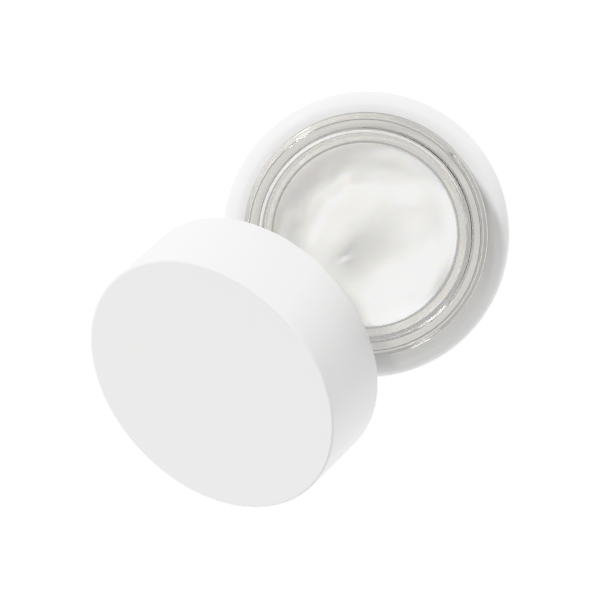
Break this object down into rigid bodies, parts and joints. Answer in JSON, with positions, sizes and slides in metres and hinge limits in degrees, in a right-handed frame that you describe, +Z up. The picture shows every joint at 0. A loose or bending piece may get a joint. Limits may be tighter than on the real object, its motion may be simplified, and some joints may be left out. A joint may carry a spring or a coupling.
{
  "type": "cosmetic cream jar",
  "caption": "Low round double-wall cream jar with a clear threaded neck, open and filled, its plain screw cap off and leaning against the neck.",
  "frame": {"origin": "middle of the jar's base, on the surface that it stands on", "axes": "+Z up along the jar's axis; the cap leans on the side of -X and -Y"},
  "size_m": [0.091, 0.0903, 0.0552],
  "materials": {
    "shell_white": "smooth moulded white, soft gloss",
    "plug_white": "fine moulded white",
    "cup_clear": "clear, polished, thick wall",
    "cream": "soft white cream with a wet sheen",
    "cap_white": "satin white",
    "liner_white": "natural moulded white",
    "seal_foam": "fine closed-cell foam",
    "seal_facing": "smooth film"
  },
  "bodies": {
    "jar": {"outer_shell": "shell_white", "base_plug": "plug_white", "inner_cup": "cup_clear", "cream": "cream"},
    "seal_disc": {"seal_foam": "seal_foam", "seal_facing": "seal_facing"},
    "cap": {"cap_shell": "cap_white", "cap_liner": "liner_white"}
  },
  "joints": [
    {"name": "cap_swing", "type": "hinge", "parent": "jar", "child": "seal_disc", "pos_m": [0.00378, 0.00368, -0.0139], "axis": [-0.6972, 0.7169, 0], "range_deg": [0, 42.5]},
    {"name": "cap_turn", "type": "hinge", "parent": "seal_disc", "child": "cap", "pos_m": [-0.02405, -0.02338, 0.02065], "axis": [-0.4843, -0.471, 0.7373], "continuous": true}
  ]
}
